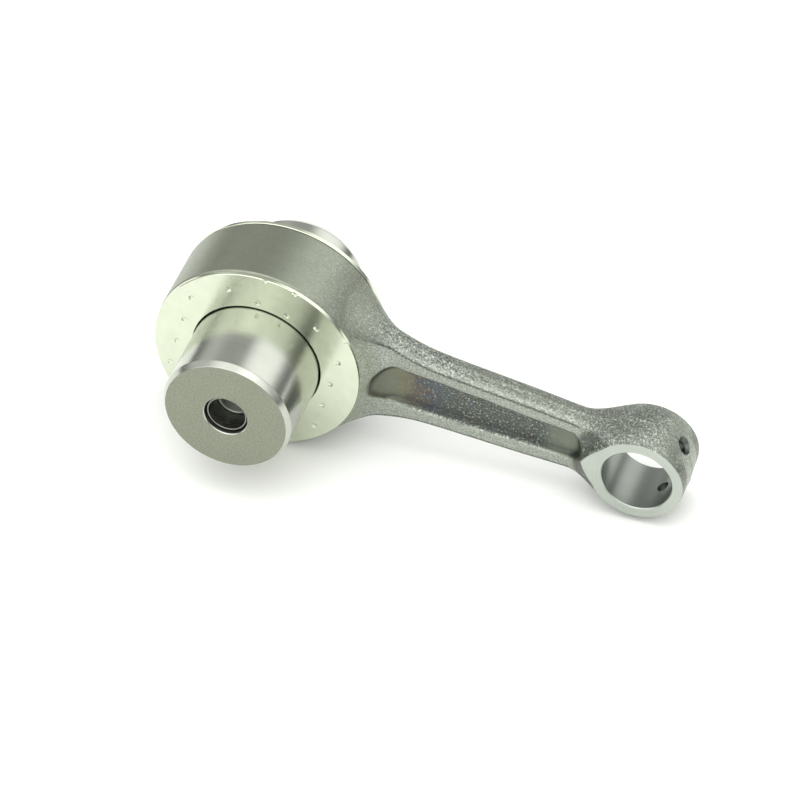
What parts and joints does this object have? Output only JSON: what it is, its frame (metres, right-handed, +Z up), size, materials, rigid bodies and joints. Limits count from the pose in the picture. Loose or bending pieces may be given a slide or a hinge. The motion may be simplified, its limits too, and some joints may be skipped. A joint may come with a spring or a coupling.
{
  "type": "connecting rod",
  "caption": "Forged I-section connecting rod with its hollow crankpin, caged needle bearing, plated thrust washers and bored small end.",
  "frame": {"origin": "middle of the bounding box, on the surface that the kit rests on", "axes": "+X runs from the big end to the small end, level; +Y is the crankpin axis, away from the longer free end of the pin; +Z is up"},
  "size_m": [0.1456, 0.062, 0.057],
  "materials": {
    "forged_steel": "forged alloy steel, shot blasted all over, with ground bores and side faces",
    "ground_steel": "case-hardened steel, cylindrically ground and polished, ends faced",
    "plug_steel": "deep-drawn sheet steel, bright rim",
    "silver_plate": "steel washer with silver-coloured plating, polished, with small round dimples",
    "cage_steel": "machined steel, dull brown; hidden, so the finish is assumed",
    "roller_steel": "ground bearing steel; hidden, so the finish is assumed"
  },
  "bodies": {
    "rod": {"connecting_rod": "forged_steel"},
    "pin": {"crankpin": "ground_steel", "pin_plug_front": "plug_steel", "pin_plug_rear": "plug_steel"},
    "washer_front": {"thrust_washer_front": "silver_plate"},
    "washer_rear": {"thrust_washer_rear": "silver_plate"},
    "cage": {"needle_cage": "cage_steel"},
    "roller_01": {"needle_roller_01": "roller_steel"},
    "roller_02": {"needle_roller_02": "roller_steel"},
    "roller_03": {"needle_roller_03": "roller_steel"},
    "roller_04": {"needle_roller_04": "roller_steel"},
    "roller_05": {"needle_roller_05": "roller_steel"},
    "roller_06": {"needle_roller_06": "roller_steel"},
    "roller_07": {"needle_roller_07": "roller_steel"},
    "roller_08": {"needle_roller_08": "roller_steel"},
    "roller_09": {"needle_roller_09": "roller_steel"},
    "roller_10": {"needle_roller_10": "roller_steel"},
    "roller_11": {"needle_roller_11": "roller_steel"},
    "roller_12": {"needle_roller_12": "roller_steel"},
    "roller_13": {"needle_roller_13": "roller_steel"},
    "roller_14": {"needle_roller_14": "roller_steel"},
    "roller_15": {"needle_roller_15": "roller_steel"},
    "roller_16": {"needle_roller_16": "roller_steel"}
  },
  "joints": [
    {"name": "crankpin_spin", "type": "hinge", "parent": "rod", "child": "pin", "pos_m": [-0.04428, 0.0038, 0.0285], "axis": [0, 1, 0], "continuous": true},
    {"name": "cage_spin", "type": "hinge", "parent": "rod", "child": "cage", "pos_m": [-0.04428, 0.0038, 0.0285], "axis": [0, 1, 0], "continuous": true},
    {"name": "front_washer_spin", "type": "hinge", "parent": "rod", "child": "washer_front", "pos_m": [-0.04428, 0.0038, 0.0285], "axis": [0, 1, 0], "continuous": true},
    {"name": "rear_washer_spin", "type": "hinge", "parent": "rod", "child": "washer_rear", "pos_m": [-0.04428, 0.0038, 0.0285], "axis": [0, 1, 0], "continuous": true},
    {"name": "roller_01_spin", "type": "hinge", "parent": "cage", "child": "roller_01", "pos_m": [-0.02481, 0.0038, 0.02971], "axis": [0, 1, 0], "continuous": true},
    {"name": "roller_02_spin", "type": "hinge", "parent": "cage", "child": "roller_02", "pos_m": [-0.02676, 0.0038, 0.03706], "axis": [0, 1, 0], "continuous": true},
    {"name": "roller_03_spin", "type": "hinge", "parent": "cage", "child": "roller_03", "pos_m": [-0.03137, 0.0038, 0.04311], "axis": [0, 1, 0], "continuous": true},
    {"name": "roller_04_spin", "type": "hinge", "parent": "cage", "child": "roller_04", "pos_m": [-0.03794, 0.0038, 0.04694], "axis": [0, 1, 0], "continuous": true},
    {"name": "roller_05_spin", "type": "hinge", "parent": "cage", "child": "roller_05", "pos_m": [-0.04548, 0.0038, 0.04796], "axis": [0, 1, 0], "continuous": true},
    {"name": "roller_06_spin", "type": "hinge", "parent": "cage", "child": "roller_06", "pos_m": [-0.05284, 0.0038, 0.04602], "axis": [0, 1, 0], "continuous": true},
    {"name": "roller_07_spin", "type": "hinge", "parent": "cage", "child": "roller_07", "pos_m": [-0.05889, 0.0038, 0.04141], "axis": [0, 1, 0], "continuous": true},
    {"name": "roller_08_spin", "type": "hinge", "parent": "cage", "child": "roller_08", "pos_m": [-0.06272, 0.0038, 0.03483], "axis": [0, 1, 0], "continuous": true},
    {"name": "roller_09_spin", "type": "hinge", "parent": "cage", "child": "roller_09", "pos_m": [-0.06374, 0.0038, 0.02729], "axis": [0, 1, 0], "continuous": true},
    {"name": "roller_10_spin", "type": "hinge", "parent": "cage", "child": "roller_10", "pos_m": [-0.0618, 0.0038, 0.01994], "axis": [0, 1, 0], "continuous": true},
    {"name": "roller_11_spin", "type": "hinge", "parent": "cage", "child": "roller_11", "pos_m": [-0.05719, 0.0038, 0.01389], "axis": [0, 1, 0], "continuous": true},
    {"name": "roller_12_spin", "type": "hinge", "parent": "cage", "child": "roller_12", "pos_m": [-0.05061, 0.0038, 0.01006], "axis": [0, 1, 0], "continuous": true},
    {"name": "roller_13_spin", "type": "hinge", "parent": "cage", "child": "roller_13", "pos_m": [-0.04307, 0.0038, 0.00904], "axis": [0, 1, 0], "continuous": true},
    {"name": "roller_14_spin", "type": "hinge", "parent": "cage", "child": "roller_14", "pos_m": [-0.03572, 0.0038, 0.01098], "axis": [0, 1, 0], "continuous": true},
    {"name": "roller_15_spin", "type": "hinge", "parent": "cage", "child": "roller_15", "pos_m": [-0.02966, 0.0038, 0.01559], "axis": [0, 1, 0], "continuous": true},
    {"name": "roller_16_spin", "type": "hinge", "parent": "cage", "child": "roller_16", "pos_m": [-0.02584, 0.0038, 0.02217], "axis": [0, 1, 0], "continuous": true}
  ],
  "couplings": [
    {"joint": "cage_spin", "follows": "crankpin_spin", "ratio": 0.44872},
    {"joint": "roller_01_spin", "follows": "crankpin_spin", "ratio": -4.8237},
    {"joint": "roller_02_spin", "follows": "crankpin_spin", "ratio": -4.8237},
    {"joint": "roller_03_spin", "follows": "crankpin_spin", "ratio": -4.8237},
    {"joint": "roller_04_spin", "follows": "crankpin_spin", "ratio": -4.8237},
    {"joint": "roller_05_spin", "follows": "crankpin_spin", "ratio": -4.8237},
    {"joint": "roller_06_spin", "follows": "crankpin_spin", "ratio": -4.8237},
    {"joint": "roller_07_spin", "follows": "crankpin_spin", "ratio": -4.8237},
    {"joint": "roller_08_spin", "follows": "crankpin_spin", "ratio": -4.8237},
    {"joint": "roller_09_spin", "follows": "crankpin_spin", "ratio": -4.8237},
    {"joint": "roller_10_spin", "follows": "crankpin_spin", "ratio": -4.8237},
    {"joint": "roller_11_spin", "follows": "crankpin_spin", "ratio": -4.8237},
    {"joint": "roller_12_spin", "follows": "crankpin_spin", "ratio": -4.8237},
    {"joint": "roller_13_spin", "follows": "crankpin_spin", "ratio": -4.8237},
    {"joint": "roller_14_spin", "follows": "crankpin_spin", "ratio": -4.8237},
    {"joint": "roller_15_spin", "follows": "crankpin_spin", "ratio": -4.8237},
    {"joint": "roller_16_spin", "follows": "crankpin_spin", "ratio": -4.8237}
  ]
}
